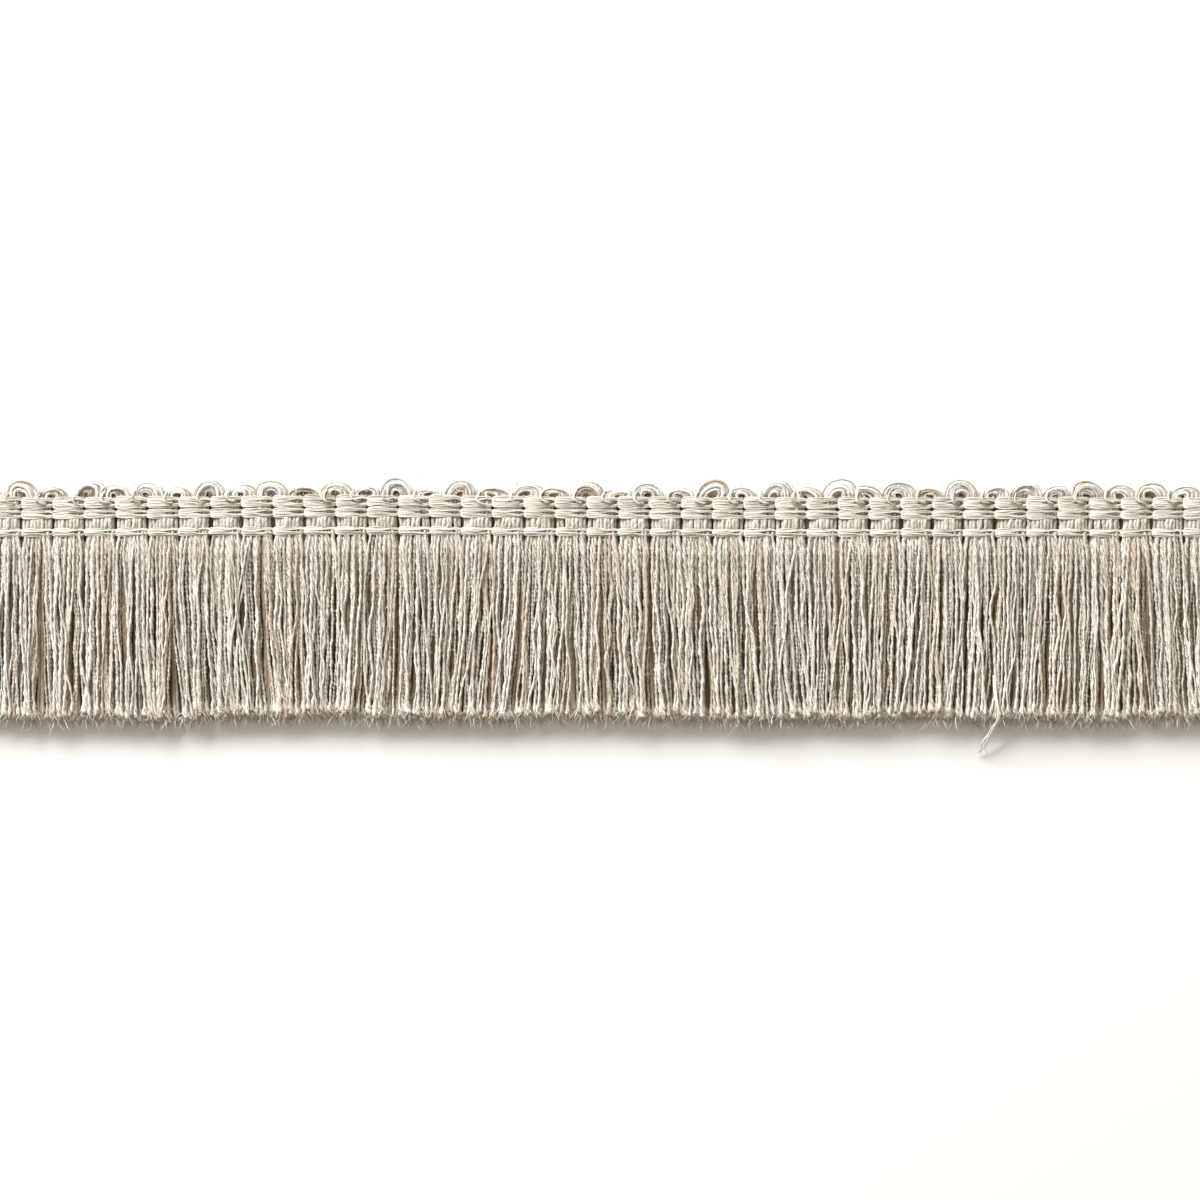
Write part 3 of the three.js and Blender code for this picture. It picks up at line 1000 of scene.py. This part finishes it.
def loose_fibres(random, starts, directions, fluff):
    """Fine fibres that leave the yarn at the starts and wave about their directions."""
    count = len(starts)
    half = fluff["half"]
    reaches = random.uniform(*fluff["reach"], count)[:, None, None]
    share = np.linspace(0.0, 1.0, fluff.get("steps", FIBRE_STEPS))[None, :, None]
    swing = random.normal(0.0, fluff["curl"], (count, 1, 3))
    swing = swing * np.sin(share * math.pi * random.uniform(*FIBRE_WAVES, (count, 1, 1)))
    paths = starts[:, None] + (unit(directions)[:, None] * share + swing) * reaches
    paths[..., 2] = np.maximum(paths[..., 2], half * FIBRE_CLEARANCE)
    widths = half * (1.0 - FIBRE_TAPER * share[0, :, 0])
    tones = random.uniform(*fluff["tones"], count)
    return thread_batch(paths, widths, tones, tones, FIBRE_SIDES)


def edge_fluff(random):
    """Wisps that stand off the looped edge."""
    fluff = EDGE_FLUFF
    count = fluff["count"]
    x = random.uniform(LEFT_END, LEFT_END + TRIM_LENGTH, count)
    y = HEADING_BASE + HEADING_HEIGHT + random.uniform(*fluff["up"], count)
    z = random.uniform(*fluff["height"], count)
    across = random.normal(0.0, fluff["across"], count)
    upward = random.uniform(*fluff["upward"], count)
    directions = np.stack([across, upward, random.normal(*fluff["lift"], count)], axis=-1)
    return loose_fibres(random, np.stack([x, y, z], axis=-1), directions, fluff)


def brush_fluff(random, front):
    """Fibres that stand off the front threads of the brush."""
    fluff = BRUSH_FLUFF
    count = fluff["count"]
    threads, steps, _ = front["paths"].shape
    thread = random.integers(0, threads, count)
    step = random.integers(fluff["first_step"], steps - 1, count)
    across = random.normal(0.0, fluff["across"], count)
    lengthways = random.normal(0.0, fluff["lengthways"], count)
    directions = np.stack([across, lengthways, random.uniform(*fluff["lift"], count)], axis=-1)
    return loose_fibres(random, front["paths"][thread, step], directions, fluff)


def fly_away_fibres(random, front):
    """A few long fibres that have come loose below the cut ends."""
    fluff = FLY_AWAY
    count = fluff["count"]
    starts = front["paths"][random.integers(0, len(front["paths"]), count), -2]
    across = random.normal(0.0, fluff["across"], count)
    downward = random.uniform(*fluff["downward"], count)
    directions = np.stack([across, downward, np.full(count, fluff["sink"])], axis=-1)
    return loose_fibres(random, starts, directions, fluff)


def stray_thread(random):
    """The thread that has slipped down out of the brush, unravelled at its end."""
    rows = []
    for number, row in enumerate(STRAY_THREAD):
        apart = STRAY_SPREAD["start"] + STRAY_SPREAD["growth"] * max(number - 1, 0) ** 2
        offset = random.normal(0.0, 1.0, (STRAY_STRANDS, 3)) * [apart, apart / 2, STRAY_SPREAD["height"]]
        rows.append(offset + [row["x"], HEADING_BASE - row["down"], row["height"]])
    paths = spline(np.stack(rows, axis=1), STRAY_STEPS)
    paths[..., 2] = np.maximum(paths[..., 2], STRAY_LOWEST)
    half = np.linspace(*STRAY_HALF_WIDTHS, STRAY_STEPS)
    tones = random.uniform(*STRAY_TONES, STRAY_STRANDS)
    return thread_batch(paths, half, tones, np.ones(STRAY_STRANDS), STRAY_SIDES)


def white_floor():
    """The white surface that the trim lies on."""
    bpy.ops.mesh.primitive_plane_add(size=FLOOR_SIZE, location=(0.0, 0.0, -FLOOR_DROP))
    floor = bpy.context.object
    floor.name = "floor"
    floor.data.materials.append(Nodes("white_floor").finish(FLOOR_LOOK))


def fill_light():
    """The warm light from all round."""
    world = bpy.data.worlds.new("studio")
    bpy.context.scene.world = world
    world.use_nodes = True
    background = world.node_tree.nodes["Background"]
    background.inputs["Color"].default_value = FILL_COLOUR
    background.inputs["Strength"].default_value = FILL_STRENGTH


def key_light():
    """The soft light from the top left of the picture, which aims at the trim."""
    key = bpy.data.lights.new("key", "AREA")
    key.shape = "RECTANGLE"
    key.size = KEY_LAMP["width"]
    key.size_y = KEY_LAMP["height"]
    key.energy = KEY_LAMP["energy"]
    lamp = bpy.data.objects.new("key", key)
    elevation = math.radians(KEY_LAMP["elevation"])
    turned = math.radians(KEY_LAMP["turned"])
    height = KEY_LAMP["distance"] * math.sin(elevation)
    level = KEY_LAMP["distance"] * math.cos(elevation)
    lamp.location = (-level * math.sin(turned), level * math.cos(turned), height)
    lamp.rotation_euler = (-Vector(lamp.location)).to_track_quat("-Z", "Y").to_euler()
    bpy.context.scene.collection.objects.link(lamp)


def photo_camera():
    """The photograph's view: straight down, with the loops at the top of the picture."""
    data = bpy.data.cameras.new("photo_camera")
    data.sensor_width = SENSOR
    data.lens = LENS
    data.clip_end = VIEW_DEPTH
    camera = bpy.data.objects.new("photo_camera", data)
    distance = PHOTO_WIDTH * LENS / SENSOR
    x = MIDDLE + MIDDLE_RIGHT_OF_TALL_LOOP
    y = HEADING_BASE - MIDDLE_BELOW_HEADING
    camera.location = (x * MM, y * MM, distance * MM)
    bpy.context.scene.collection.objects.link(camera)
    bpy.context.scene.camera = camera


def make_brush(yarns, fibre):
    """The brush's layers, the fibres at their cut ends and the loose ones, and the slipped thread."""
    layers = {}
    for number, layer in enumerate(BRUSH_LAYERS):
        threads = brush_layer(seeded("brush", number), layer)
        layers[layer["name"]] = threads
        yarn = yarns["spun_linen"] if layer["spin"] else yarns["brush_linen"]
        replaced = ("brush",) if layer["name"] == FRONT_LAYER else ()
        make_piece(layer["name"], [threads], yarn, replaced)
    random = seeded("cut_ends")
    ends = [cut_ends(random, layers[layer["name"]], layer["fray"]) for layer in BRUSH_LAYERS]
    make_piece("brush_cut_ends", ends, fibre)
    front = layers[FRONT_LAYER]
    loose = [
        brush_fluff(seeded("brush_fluff"), front),
        fly_away_fibres(seeded("fly_away"), front),
        stray_thread(seeded("stray")),
    ]
    make_piece("brush_fluff", loose, fibre)


def make_heading(yarns, fibre):
    """The heading's weft, its loops with their strands and wisps, and the three warp bands."""
    weft = weft_rows(seeded("weft"))
    make_piece("heading_weft", weft, yarns["brush_linen"], ("heading_ground",))
    make_piece("heading_loops", loop_threads(seeded("loops")), yarns["loop_linen"])
    make_piece("eye_strands", eye_strands(seeded("eye_strands")), yarns["brush_linen"])
    make_piece("edge_fluff", [edge_fluff(seeded("edge_fluff"))], fibre)
    for number, band in enumerate(BANDS):
        stitches = band_stitches(seeded("bands", number), band)
        make_piece(band["name"], stitches, yarns["warp_linen"], band["nodes"])


photo_camera()
white_floor()
fill_light()
key_light()
bpy.context.scene.view_settings.view_transform = "Standard"

yarn_materials = {name: yarn_material(name, look) for name, look in YARNS.items()}
loose_material = fibre_material()
make_brush(yarn_materials, loose_material)
make_heading(yarn_materials, loose_material)
